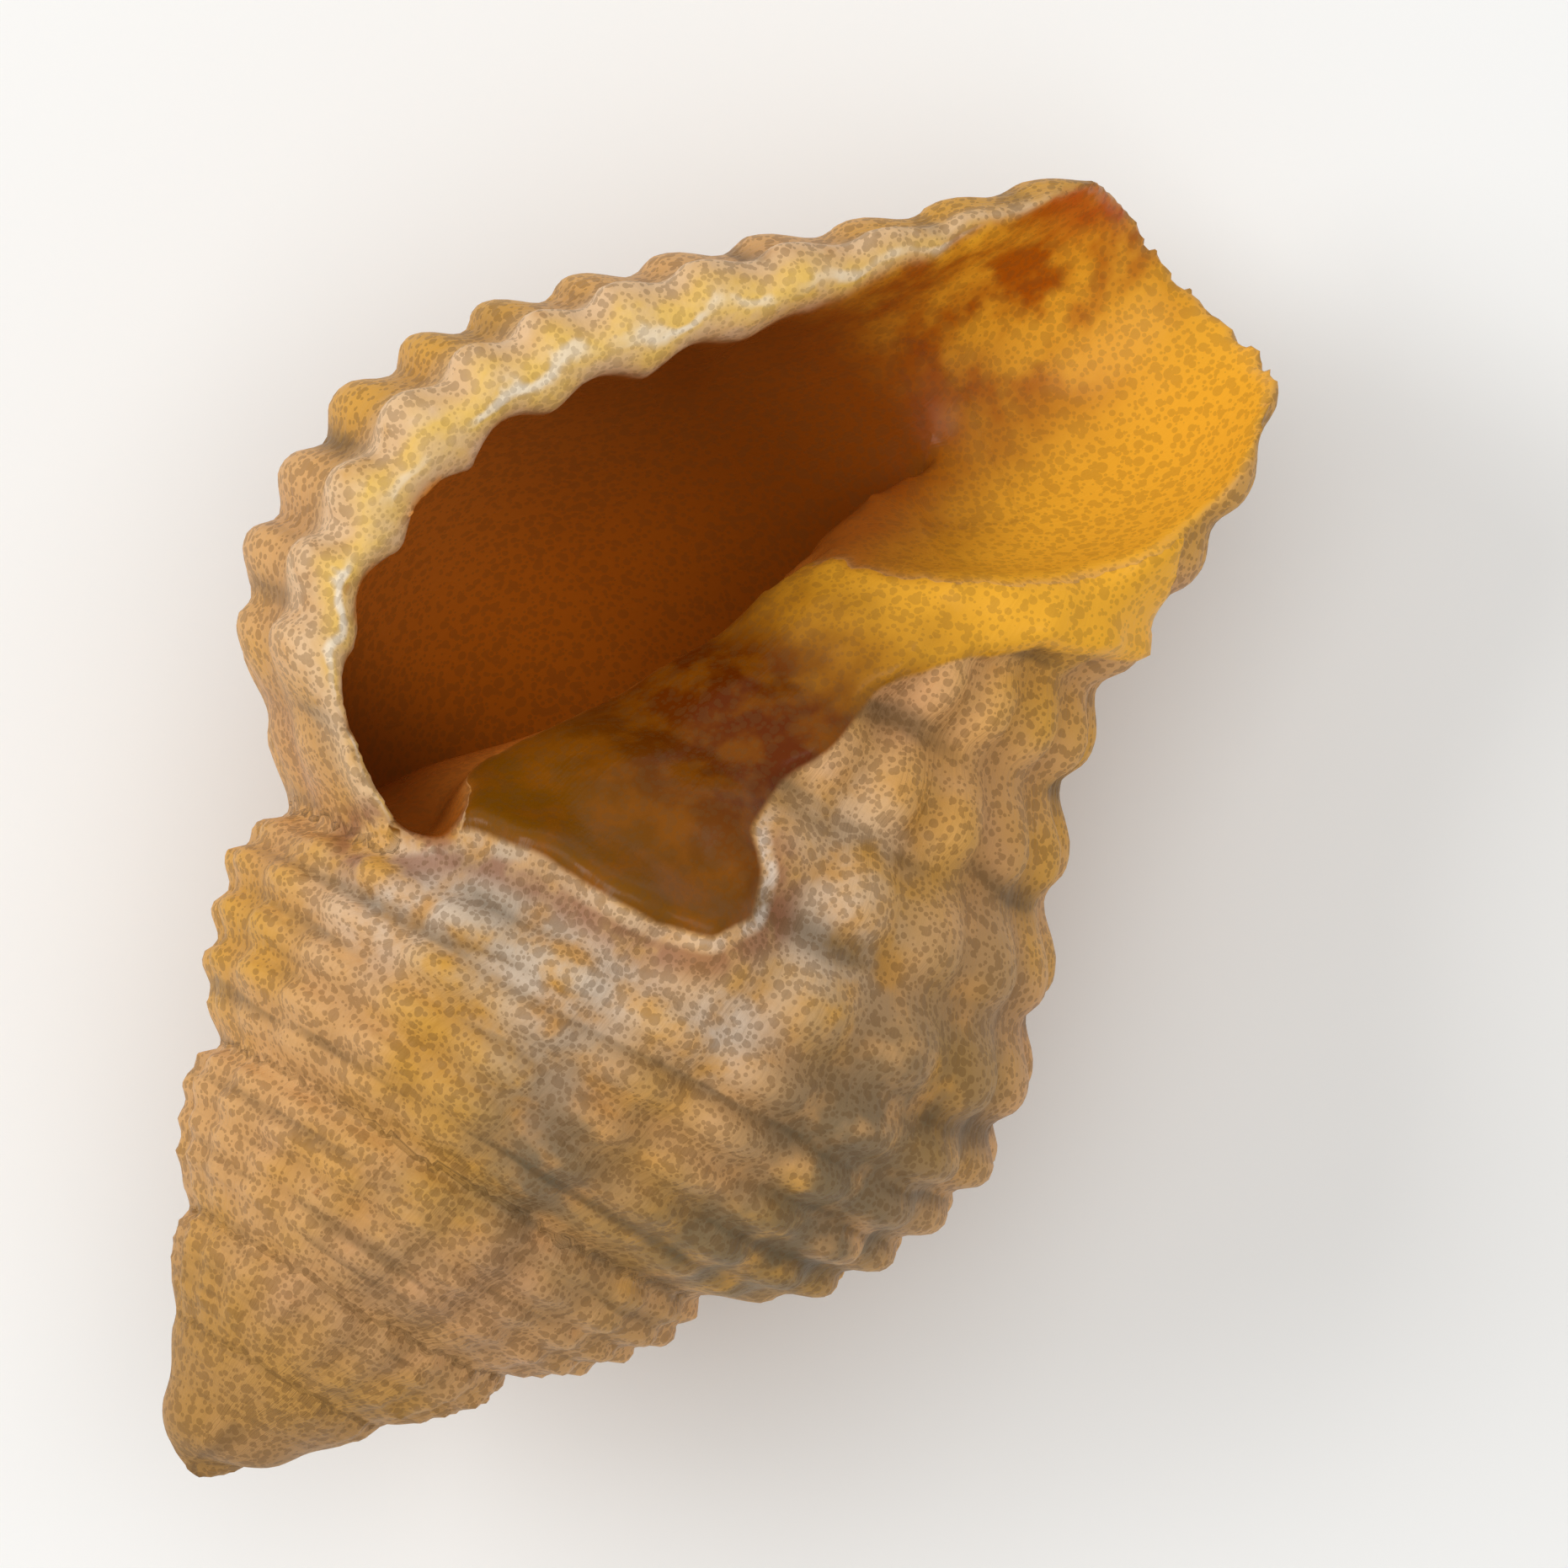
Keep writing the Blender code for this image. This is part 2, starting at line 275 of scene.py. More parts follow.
def skin(turn, across, share, sculpted=True):
    # the outside of the shell: across is 0 at a whorl's upper suture and 1 at its lower one,
    # and share runs on from there to 1 at the siphonal end
    firstTurn = -math.tau
    cord = sculpture["spireCords"] * across + sculpture["baseCords"] * share
    along = coil["sutureAtLip"] * growthAt(turn) * coil["growth"] ** across
    along = along + (coil["length"] - along) * share
    for cornerTurn in (0.0, firstTurn):
        turn = turn + coil["lipSweep"] * cornerReach(turn - cornerTurn, along)
    spire = (turn <= firstTurn) & (share == 0.0)
    sinceStart = turn - firstTurn
    fade = clamped(1.0 - sinceStart / coil["spireFade"])
    fade = fade * clamped((coil["spireEnd"] - along) / coil["spireEndWidth"])
    body = bodyRadius(along, np.minimum(turn, 0.0))
    body = body + (spireRadius(along) - body) * fade
    radius = np.where(spire, spireRadius(along), body)
    covered = clamped(1.0 - sinceStart / coil["notchFade"]) * (share == 0.0)
    covered = np.where(spire, 1.0, covered)
    wide = sculpture["sutureWidth"]
    notch = np.exp(-(across / wide) ** 2) * (share == 0.0)
    notch = notch + covered * np.exp(-((across - 1.0) / wide) ** 2)
    notch = notch * belowTip(along)
    radius = radius * (1.0 - sculpture["sutureDepth"] * notch)
    varix = np.exp(-((turn + sculpture["varixBack"]) / sculpture["varixWidth"]) ** 2)
    varix = varix * (1.0 - share) * clamped((along - coil["sutureAtLip"]) / sculpture["varixRise"])
    smoothed = sculpture["sutureSmooths"] * np.minimum(notch, 1.0)
    relief = beadRelief(turn, cord, along) * (1.0 - smoothed)
    radius = radius + relief * sculpted + sculpture["varixHeight"] * varix
    return aroundAxis(along, radius, turn + coil["lipAngle"])


def aroundAxis(along, radius, angle):
    return np.stack([along, radius * np.cos(angle), radius * np.sin(angle)], axis=1)


def newPiece(name):
    piece = bpy.context.object
    piece.name = name
    return piece


def coordinates(piece):
    flat = np.empty(len(piece.data.vertices) * 3)
    piece.data.vertices.foreach_get("co", flat)
    return flat.reshape(-1, 3)


def moveVertices(piece, places):
    piece.data.vertices.foreach_set("co", np.ravel(places))
    piece.data.update()


def readValue(piece, name):
    flat = np.empty(len(piece.data.vertices))
    piece.data.attributes[name].data.foreach_get("value", flat)
    return flat


def writeValue(piece, name, values):
    kept = piece.data.attributes.get(name) or piece.data.attributes.new(name, "FLOAT", "POINT")
    kept.data.foreach_set("value", np.asarray(values, np.float32))


def editSelected(piece, wanted):
    # opens the piece in edit mode with only the wanted vertices and the edges between them
    if bpy.context.mode != "OBJECT":
        bpy.ops.object.mode_set(mode="OBJECT")
    bpy.ops.object.select_all(action="DESELECT")
    piece.select_set(True)
    bpy.context.view_layer.objects.active = piece
    bpy.ops.object.mode_set(mode="EDIT")
    bpy.ops.mesh.select_mode(type="VERT")
    bpy.ops.mesh.select_all(action="DESELECT")
    bpy.ops.object.mode_set(mode="OBJECT")
    piece.data.vertices.foreach_set("select", np.asarray(wanted, bool))
    bpy.ops.object.mode_set(mode="EDIT")


def growOn(turn, size, count):
    # one more step of growth: the edge is drawn out, turned about the axis and enlarged
    for step in range(count):
        bpy.ops.mesh.extrude_region_move()
        bpy.ops.transform.rotate(value=-turn, orient_axis="X", center_override=(0, 0, 0))
        bpy.ops.transform.resize(value=(size, size, size), center_override=(0, 0, 0))


def growWhorls():
    rows, columns = coil["spireRows"], coil["columns"]
    step = math.tau / columns
    bpy.ops.object.select_all(action="DESELECT")
    bpy.ops.mesh.primitive_grid_add(x_subdivisions=rows, y_subdivisions=1, size=1.0)
    shell = newPiece("shellOfAragonite")
    flat = coordinates(shell)
    across = flat[:, 0] + 0.5
    firstTurn = -step * coil["allColumns"]
    turn = firstTurn + step * (flat[:, 1] > 0)
    along = coil["sutureAtLip"] * growthAt(turn) * coil["growth"] ** across
    moveVertices(shell, aroundAxis(along, spireRadius(along), turn))
    writeValue(shell, "across", across)
    editSelected(shell, turn > firstTurn + step / 2)
    growOn(step, growthAt(step), coil["allColumns"] - 1)
    bpy.ops.object.mode_set(mode="OBJECT")
    along, across = coordinates(shell)[:, 0], readValue(shell, "across")
    wound = np.log(along / coil["sutureAtLip"]) / math.log(coil["growth"]) - across
    wound = np.round(wound * columns) / columns
    writeValue(shell, "turn", wound * math.tau)
    writeValue(shell, "share", np.zeros(len(along)))
    stride = 100.0          # so far apart that a row can be told by its place
    lastWhorl = (wound > -1.0 - 0.5 / columns) & (across > 1.0 - 0.5 / rows)
    editSelected(shell, lastWhorl)
    for row in range(coil["baseRows"]):
        bpy.ops.mesh.extrude_region_move(TRANSFORM_OT_translate={"value": (stride, 0, 0)})
    bpy.ops.object.mode_set(mode="OBJECT")
    share = np.floor(coordinates(shell)[:, 0] / stride) / coil["baseRows"]
    writeValue(shell, "share", share)
    editSelected(shell, np.ones(len(share)))
    bpy.ops.mesh.subdivide(number_cuts=coil["finer"])
    bpy.ops.object.mode_set(mode="OBJECT")
    return shell


def shapeSkin(shell):
    turn, across, share = (readValue(shell, name) for name in ("turn", "across", "share"))
    tiny = 1e-4
    share = np.where(share < tiny, 0.0, share)
    welded = (across > 1.0 - tiny) & (turn < -math.tau + tiny) & (share == 0.0)
    turn, across = np.where(welded, turn + math.tau, turn), np.where(welded, 0.0, across)
    moveVertices(shell, skin(turn, across, share))
    editSelected(shell, np.ones(len(turn)))
    bpy.ops.mesh.remove_doubles(threshold=tiny)
    bpy.ops.object.mode_set(mode="OBJECT")


def openEdge(piece):
    editSelected(piece, np.zeros(len(piece.data.vertices)))
    bpy.ops.mesh.select_non_manifold()
    bpy.ops.object.mode_set(mode="OBJECT")
    chosen = np.empty(len(piece.data.vertices), bool)
    piece.data.vertices.foreach_get("select", chosen)
    return chosen


def closeEnds(shell):
    chosen, along = openEdge(shell), coordinates(shell)[:, 0]
    nearEnd, nearTip = 0.01, 3.0
    end = along > coil["length"] - nearEnd
    tip = along < nearTip
    for part in (end, ~tip, tip):
        editSelected(shell, chosen & part)
        if part is tip:
            roundOff(along[chosen & part].min())
        bpy.ops.mesh.edge_face_add()
        bpy.ops.object.mode_set(mode="OBJECT")
    outward(shell)


def roundOff(along):
    # the first whorl ends in a small dome
    steps = coil["domeSteps"]
    for step in range(1, steps):
        before, after = (math.cos(math.pi / 2 * k / steps) for k in (step - 1, step))
        risen = math.sin(math.pi / 2 * step / steps) - math.sin(math.pi / 2 * (step - 1) / steps)
        bpy.ops.mesh.extrude_region_move(
            TRANSFORM_OT_translate={"value": (-risen * (along - coil["tip"]), 0, 0)})
        bpy.ops.transform.resize(value=(1, after / before, after / before),
                                 center_override=(along, 0, 0))


def outward(piece):
    editSelected(piece, np.ones(len(piece.data.vertices)))
    bpy.ops.mesh.normals_make_consistent(inside=False)
    bpy.ops.object.mode_set(mode="OBJECT")


def ringAround(points, count):
    # points are joined by a smooth closed curve, which is read at even steps
    looped = np.array(points[-2:] + points + points[:3])
    places = np.arange(-2, len(points) + 3)
    at = np.arange(count) * len(points) / count
    return np.stack([smoothCurve(places, looped[:, k], at) for k in range(2)], axis=1)


def sweptTube(name, count, rings):
    # a circle is added, and drawn out ring by ring into a tube with closed ends
    bpy.ops.object.select_all(action="DESELECT")
    bpy.ops.mesh.primitive_circle_add(vertices=count, radius=1.0, fill_type="NOTHING")
    tube = newPiece(name)
    editSelected(tube, np.ones(count))
    for ring in range(len(rings) - 1):
        bpy.ops.mesh.extrude_region_move(TRANSFORM_OT_translate={"value": (0, 0, 1.0)})
    bpy.ops.object.mode_set(mode="OBJECT")
    moveVertices(tube, np.concatenate(rings))
    for end in (0, len(rings) - 1):
        wanted = np.zeros(len(tube.data.vertices), bool)
        wanted[end * count:(end + 1) * count] = True
        editSelected(tube, wanted)
        bpy.ops.mesh.edge_face_add()
        bpy.ops.object.mode_set(mode="OBJECT")
    outward(tube)
    return tube


def window(at, low, high, soft=0.7):
    return clamped((at - low) / soft) * clamped((high - at) / soft)


def mouthRing(turn, lift):
    ring = ringAround(mouth["outline"], mouth["points"])
    at = np.arange(mouth["points"]) * len(mouth["outline"]) / mouth["points"]
    ahead, behind = np.roll(ring, -1, axis=0), np.roll(ring, 1, axis=0)
    away = np.stack([-(ahead - behind)[:, 1], (ahead - behind)[:, 0]], axis=1)
    away /= np.linalg.norm(away, axis=1)[:, None]
    run = np.cumsum(np.linalg.norm(ring - behind, axis=1))
    inner = clamped(1.0 + turn / mouth["toothRun"]) if turn < 0.0 else mouth["toothAtEdge"]
    breadth = mouth["toothBreadth"]
    tooth = rounded(run / mouth["toothSpacing"], breadth) * window(at, *mouth["teeth"]) * inner
    fold = rounded(run / mouth["foldSpacing"], breadth) * window(at, *mouth["folds"])
    depth = mouth["toothHeight"] * tooth + mouth["foldHeight"] * fold
    depth = depth + mouth["wallBack"] * clamped(-turn / mouth["toothRun"] / mouth["wallRuns"])
    ring = (ring - away * depth[:, None]) * growthAt(turn)
    along, radius = ring[:, 0], ring[:, 1] + lift
    angle = turn + coil["lipAngle"] + coil["lipSweep"] * cornerReach(turn, along)
    return aroundAxis(along, radius, angle)


def hollowWhorl():
    ahead, lift = mouth["ahead"], mouth["lift"]
    front = np.linspace(ahead[-1], 0.0, mouth["aheadRings"] + 1)[:-1]
    rings = [mouthRing(math.radians(turn), np.interp(turn, (0.0,) + ahead, (0.0,) + lift))
             for turn in front]
    rings += [mouthRing(turn, 0.0)
              for turn in np.linspace(0.0, -math.tau * mouth["turns"], mouth["steps"])]
    return sweptTube("hollow", mouth["points"], rings)


def canalTrough():
    table = np.array(canal["stations"])
    rings = []
    for at in np.linspace(0, len(table) - 1, canal["steps"]):
        along, across, up, wide, high = (
            smoothCurve(range(len(table)), column, np.array([at]))[0] for column in table.T)
        angle = math.tau * np.arange(canal["sides"]) / canal["sides"]
        rings.append(np.stack([along + 0 * angle, across + wide * np.cos(angle),
                               up + high * np.sin(angle)], axis=1))
    return sweptTube("canal", canal["sides"], rings)


def cutAway(piece, cutter):
    bpy.ops.object.select_all(action="DESELECT")
    piece.select_set(True)
    bpy.context.view_layer.objects.active = piece
    bpy.ops.object.modifier_add(type="BOOLEAN")
    modifier = piece.modifiers[-1]
    modifier.operation = "DIFFERENCE"
    modifier.solver = "MANIFOLD"
    modifier.object = cutter
    bpy.ops.object.modifier_apply(modifier=modifier.name)


def reskin(piece, voxel):
    bpy.context.view_layer.objects.active = piece
    bpy.ops.object.modifier_add(type="REMESH")
    modifier = piece.modifiers[-1]
    modifier.mode = "VOXEL"
    modifier.voxel_size = voxel
    modifier.use_smooth_shade = True
    bpy.ops.object.modifier_apply(modifier=modifier.name)


def thinOut(piece, wanted, target):
    # the hollow out of sight gets larger faces, so that the piece keeps to its limit
    group = piece.vertex_groups.new(name="outOfSight")
    group.add([int(k) for k in np.flatnonzero(wanted)], 1.0, "REPLACE")
    faces = sum(len(face.vertices) - 2 for face in piece.data.polygons)
    bpy.context.view_layer.objects.active = piece
    bpy.ops.object.modifier_add(type="DECIMATE")
    modifier = piece.modifiers[-1]
    modifier.ratio = target / faces
    modifier.vertex_group = group.name
    modifier.vertex_group_factor = 10.0
    bpy.ops.object.modifier_apply(modifier=modifier.name)
    piece.vertex_groups.clear()


def surfaceOf(piece):
    return coordinates(piece).tolist(), [list(face.vertices) for face in piece.data.polygons]


def distanceTo(places, solid):
    tree = BVHTree.FromPolygons(*solid)
    return np.array([tree.find_nearest(place)[3] for place in places.tolist()])


def nearestOf(places, points):
    tree = KDTree(len(points))
    for k, point in enumerate(points.tolist()):
        tree.insert(point, k)
    tree.balance()
    return np.array([tree.find(place)[1] for place in places.tolist()])


def spread(piece, values, passes, where=None):
    # values are evened out between neighbouring points, everywhere or as far as where says
    ends = np.empty(len(piece.data.edges) * 2, np.int64)
    piece.data.edges.foreach_get("vertices", ends)
    ends = ends.reshape(-1, 2)
    one, other = ends[:, 0], ends[:, 1]
    count = np.bincount(ends.ravel(), minlength=len(values)).astype(float)
    table = values.reshape(len(values), -1).copy()
    pull = 0.6              # share of the way to the mean of the neighbours
    for step in range(passes):
        for k in range(table.shape[1]):
            total = np.bincount(one, table[other, k], len(table))
            total += np.bincount(other, table[one, k], len(table))
            change = pull * (total / count - table[:, k])
            table[:, k] += change if where is None else change * where
    return table.reshape(values.shape)


def insideOutline(u, v, outline):
    found = np.zeros(len(u), bool)
    for (u0, v0), (u1, v1) in zip(outline, outline[1:] + outline[:1]):
        crosses = ((v0 > v) != (v1 > v)) & (u < (u1 - u0) * (v - v0) / (v1 - v0 + 1e-12) + u0)
        found ^= crosses
    return found


def distanceToLine(u, v, line):
    best = np.full(len(u), 99.0)
    for (u0, v0), (u1, v1) in zip(line, line[1:]):
        square = (u1 - u0) ** 2 + (v1 - v0) ** 2
        along = clamped(((u - u0) * (u1 - u0) + (v - v0) * (v1 - v0)) / square)
        best = np.minimum(best, np.hypot(u - u0 - along * (u1 - u0), v - v0 - along * (v1 - v0)))
    return best


def spotsAt(u, v, above, spots):
    total = np.zeros(len(u))
    for spotU, spotV, size, strength in spots:
        total += strength * np.exp(-((u - spotU) ** 2 + (v - spotV) ** 2) / size ** 2)
    return clamped(total) * above


def hexColour(text):
    parts = [int(text[k:k + 2], 16) / 255 for k in (1, 3, 5)]
    return tuple(c / 12.92 if c <= 0.04045 else ((c + 0.055) / 1.055) ** 2.4 for c in parts) + (1.0,)


def addNode(tree, kind, links=None, **settings):
    # links gives each input a value or another node's output
    made = tree.nodes.new("ShaderNode" + kind)
    for name, value in settings.items():
        setattr(made, name, value)
    for socket, value in (links or {}).items():
        if isinstance(value, bpy.types.NodeSocket):
            tree.links.new(value, made.inputs[socket])
        else:
            made.inputs[socket].default_value = value
    return made


def blended(tree, share, below, above):
    mix = addNode(tree, "Mix", {0: share, 6: below, 7: above}, data_type="RGBA")
    return mix.outputs[2]


def between(tree, value, low, high):
    return addNode(tree, "MapRange", {"Value": value, "From Min": low, "From Max": high},
                   interpolation_type="SMOOTHSTEP").outputs["Result"]


def times(tree, one, other):
    return addNode(tree, "Math", {0: one, 1: other}, operation="MULTIPLY").outputs[0]


# Some colours are painted light: shade in the grooves, between the beads and deep in the aperture,
# and highlights on the lip and beside the callus.
finish = {
    "tan": "#D6A368", "gold": "#D49C42", "rose": "#C8946C", "pale": "#E4D4C2",
    "smudgeAndShade": "#70644E", "grooveShade": "#4A3E28", "valleyShade": "#90602E", "speckle": "#6A4A24",
    "lipEdge": "#E8C49A", "lipGold": "#F0C468", "lipHighlightCream": "#FDEBCE", "lipRose": "#E2B48C",
    "nearLip": "#F0963A", "brown": "#DC7619", "shadeDeepBrown": "#843E0A", "corner": "#985016",
    "burntOrange": "#B45A08", "orange": "#F5B131", "redOrange": "#C04A14",
    "olive": "#7A4A04", "honey": "#8A4E08", "callusBrown": "#662A00",
    "rust": "#8C5434", "rimHighlight": "#E6D6C6", "tip": "#A27A4C",
    "speckleSizes": (3.9, 5.3, 8.2),      # cells in one mm
    "outerRoughness": 0.46,
    "glazedRoughness": 0.27,
    "dotsOutside": 0.40,    # how dark the speckles are
    "dotsGlazed": 0.24,
    "bumpDepth": 0.00007,
}


def speckles(tree, inMm):
    # round dots of three sizes, which run together where they are dense
    crowded = addNode(tree, "TexNoise", {"Vector": inMm, "Scale": 0.55, "Detail": 2.0}).outputs["Fac"]
    reach = between(tree, crowded, 0.25, 0.75)
    reach = addNode(tree, "Math", {0: reach, 1: 0.09, 2: 0.335}, operation="MULTIPLY_ADD").outputs[0]
    together = None
    for size in finish["speckleSizes"]:
        cells = addNode(tree, "TexVoronoi", {"Vector": inMm, "Scale": size})
        chance = addNode(tree, "SeparateColor", {"Color": cells.outputs["Color"]}).outputs["Red"]
        chance = addNode(tree, "Math", {0: chance, 1: 0.70, 2: 0.50},
                         operation="MULTIPLY_ADD").outputs[0]
        radius = times(tree, reach, chance)
        inner = addNode(tree, "Math", {0: radius, 1: cells.outputs["Distance"]},
                        operation="SUBTRACT").outputs[0]
        dot = between(tree, inner, -0.02, 0.02)
        together = dot if together is None else addNode(
            tree, "Math", {0: together, 1: dot}, operation="MAXIMUM").outputs[0]
    return together


def aragonite():
    # Outside, a dry tan and gold skin with fine growth lines, brown speckles and painted shade in the
    # grooves and between the beads. Inside and over the callus, a smooth glaze from gold through
    # brown to orange, painted darker deeper in as shade.
    # Noise scales are in features for each mm, so 0.30 gives patches about 3 mm wide.
    material = bpy.data.materials.new("aragonite, grown, glazed in the aperture")
    material.use_nodes = True
    tree = material.node_tree
    shader = tree.nodes["Principled BSDF"]
    place = addNode(tree, "TexCoord").outputs["Object"]
    inMm = addNode(tree, "Mapping", {"Vector": place, "Scale": (1000.0,) * 3}).outputs["Vector"]
    spot = addNode(tree, "SeparateXYZ", {"Vector": inMm})

    def value(name):
        return addNode(tree, "Attribute", attribute_name=name).outputs["Fac"]

    def noise(vector, scale, detail):
        return addNode(tree, "TexNoise",
                       {"Vector": vector, "Scale": scale, "Detail": detail}).outputs["Fac"]

    def level(amount):
        return (amount,) * 3 + (1.0,)

    def stretched(vector, x, y, z):
        return addNode(tree, "Mapping", {"Vector": vector, "Scale": (x, y, z)}).outputs["Vector"]

    def colour(name):
        return hexColour(finish[name])

    winding = addNode(tree, "Attribute", attribute_name="winding").outputs["Vector"]
    inside, trough, lip = (value(name) for name in ("inside", "trough", "lip"))
    lipAcross, back, smudgeAndShade = (value(name) for name in ("lipAcross", "back", "smudgeAndShade"))
    pale, groove, valleyShade, brink = (value(name) for name in ("pale", "groove", "valleyShade", "brink"))
    gap = value("gap")
    pad = between(tree, gap, -0.05, 0.10)

    # the skin: tan and gold patches, painted shade between the beads and along the grooves, pale
    # patches painted as highlights, dull dirt, and painted shade toward the lower right edge
    outer = blended(tree, between(tree, noise(inMm, 0.30, 4.0), 0.40, 0.62),
                    colour("tan"), colour("gold"))
    outer = blended(tree, times(tree, between(tree, noise(inMm, 0.21, 2.0), 0.50, 0.72), 0.6),
                    outer, colour("rose"))
    # painted shade: darker between the beads, where the relief lies under the outline
    outer = blended(tree, times(tree, valleyShade, 0.42), outer, colour("valleyShade"))
    uneven = noise(inMm, 1.1, 5.0)
    # painted highlights: pale patches beside the callus
    highlightPatch = times(tree, pale, between(tree, uneven, 0.30, 0.60))
    outer = blended(tree, times(tree, highlightPatch, 0.75), outer, colour("pale"))
    # dull dirt, with painted shade toward the lower right edge among it
    farGrey = times(tree, between(tree, noise(inMm, 0.17, 2.0), 0.60, 0.78), 0.4)
    greyAndShade = addNode(tree, "Math", {0: farGrey, 1: times(tree, smudgeAndShade, 0.85)},
                   operation="MAXIMUM").outputs[0]
    greyAndShade = times(tree, greyAndShade, between(tree, uneven, 0.22, 0.58))
    outer = blended(tree, greyAndShade, outer, colour("smudgeAndShade"))
    # painted shade: dark lines along the grooves between the cords
    grooveShade = between(tree, noise(stretched(winding, 1.1, 1.7, 1.0), 1.0, 2.0), 0.49, 0.62)
    grooveShade = times(tree, grooveShade, groove)
    outer = blended(tree, times(tree, grooveShade, 0.66), outer, colour("grooveShade"))

    # the lip: bands along its edge, and a cream painted highlight along the middle of them, on the
    # rounded crest
    wavy = addNode(tree, "Math", {0: noise(inMm, 0.8, 3.0), 1: 0.9, 2: -0.42},
                   operation="MULTIPLY_ADD").outputs[0]
    lipAt = addNode(tree, "Math", {0: lipAcross, 1: wavy}, operation="ADD").outputs[0]
    bands = addNode(tree, "ValToRGB", {"Fac": lipAt})
    ramp = bands.color_ramp
    stops = ((0.0, "lipEdge"), (0.16, "lipGold"), (0.62, "lipGold"), (1.0, "lipRose"))
    for k, (at, name) in enumerate(stops):
        stop = ramp.elements[k] if k < 2 else ramp.elements.new(at)
        stop.position, stop.color = at, colour(name)
    lipColour = blended(tree, between(tree, noise(inMm, 1.6, 4.0), 0.35, 0.70),
                        bands.outputs["Color"], colour("lipEdge"))
    lipColour = blended(tree, 0.60, bands.outputs["Color"], lipColour)
    # painted highlight: a cream line along the lip's rounded crest
    creamHighlight = times(tree, between(tree, lipAt, 0.36, 0.47), between(tree, lipAt, 0.62, 0.52))
    creamHighlight = times(tree, creamHighlight, between(tree, noise(inMm, 0.5, 3.0), 0.40, 0.60))
    lipColour = blended(tree, creamHighlight, lipColour, colour("lipHighlightCream"))

    # the aperture: brown deep inside, painted darker there and across its middle as shade, orange
    # toward the canal, red-orange at its end
    # painted shade: lighter near the lip and darker the deeper inside the whorl
    aperture = blended(tree, between(tree, back, 0.02, 0.22), colour("nearLip"), colour("brown"))
    aperture = blended(tree, between(tree, back, 0.20, 0.60), aperture, colour("shadeDeepBrown"))
    # painted shadow: darker across the middle of the aperture
    aperture = blended(tree, times(tree, between(tree, spot.outputs["X"], 1.0, 7.0), 0.85), aperture,
                       colour("shadeDeepBrown"))
    cloudy = noise(inMm, 0.9, 4.0)
    aperture = blended(tree, between(tree, spot.outputs["X"], 0.2, -2.2), aperture, colour("corner"))
    toFront = addNode(tree, "Math", {0: cloudy, 1: 1.6, 2: spot.outputs["X"]},
                      operation="MULTIPLY_ADD").outputs[0]
    burnt = blended(tree, between(tree, cloudy, 0.35, 0.65), colour("burntOrange"), colour("orange"))
    front = between(tree, toFront, 9.2, 12.8)
    aperture = blended(tree, front, aperture, burnt)
    toRight = addNode(tree, "Math", {0: spot.outputs["Y"], 1: -1.0, 2: cloudy},
                      operation="MULTIPLY_ADD").outputs[0]
    bright = between(tree, toRight, 0.2, 3.2)
    bright = times(tree, bright, between(tree, spot.outputs["X"], 3.5, 7.0))
    aperture = blended(tree, bright, aperture, colour("orange"))
    tipRed = times(tree, between(tree, toFront, 12.9, 14.4), between(tree, toRight, 1.2, -0.4))
    aperture = blended(tree, tipRed, aperture, colour("redOrange"))

    # the callus: olive to brown with honey clouds, a pale band outside it painted as a highlight, and
    # a rust band along its edge
    callusColour = blended(tree, between(tree, spot.outputs["X"], -1.0, 2.4),
                           colour("olive"), colour("callusBrown"))
    callusColour = blended(tree, times(tree, between(tree, noise(inMm, 1.3, 4.0), 0.40, 0.65), 0.7),
                           callusColour, colour("honey"))
    callusColour = blended(tree, between(tree, toFront, 4.0, 8.0), callusColour, colour("orange"))
    glaze = times(tree, pad, between(tree, noise(inMm, 1.2, 3.0), 0.0, 0.25))
    skinColour = blended(tree, glaze, outer, callusColour)
    innerShare = addNode(tree, "Math", {0: inside, 1: trough},
                         operation="ADD", use_clamp=True).outputs[0]
    unglazed = addNode(tree, "Math", {0: 1.0, 1: pad}, operation="SUBTRACT").outputs[0]
    edging = times(tree, times(tree, brink, unglazed), between(tree, uneven, 0.25, 0.55))
    skinColour = blended(tree, times(tree, edging, 0.8), skinColour, colour("lipEdge"))
    behind = between(tree, spot.outputs["X"], 2.0, 1.0)
    scorch = times(tree, between(tree, gap, -0.95, -0.45), between(tree, gap, -0.16, -0.36))
    scorch = times(tree, times(tree, scorch, behind), between(tree, uneven, 0.34, 0.54))
    skinColour = blended(tree, times(tree, scorch, 0.70), skinColour, colour("rust"))
    # painted highlight: a pale band just outside the callus edge, near its posterior end
    rimHighlight = times(tree, between(tree, gap, -0.34, -0.16), between(tree, gap, 0.02, -0.08))
    atCorner = times(tree, behind, between(tree, spot.outputs["X"], -2.0, 0.6))
    rimHighlight = times(tree, times(tree, rimHighlight, atCorner), between(tree, noise(inMm, 2.2, 3.0), 0.36, 0.60))
    skinColour = blended(tree, times(tree, rimHighlight, 0.7), skinColour, colour("rimHighlight"))
    smooth = between(tree, spot.outputs["X"], -8.5, -12.5)
    skinColour = blended(tree, times(tree, smooth, 0.6), skinColour, colour("tip"))
    whole = blended(tree, innerShare, skinColour, aperture)
    whole = blended(tree, lip, whole, lipColour)

    dots = speckles(tree, inMm)
    glazed = addNode(tree, "Math", {0: innerShare, 1: times(tree, pad, 0.9)},
                     operation="MAXIMUM").outputs[0]
    strength = blended(tree, glazed, level(finish["dotsOutside"]), level(finish["dotsGlazed"]))
    strength = blended(tree, lip, strength, level(finish["dotsGlazed"]))
    dotted = blended(tree, times(tree, dots, strength), whole, colour("speckle"))
    tree.links.new(dotted, shader.inputs["Base Color"])

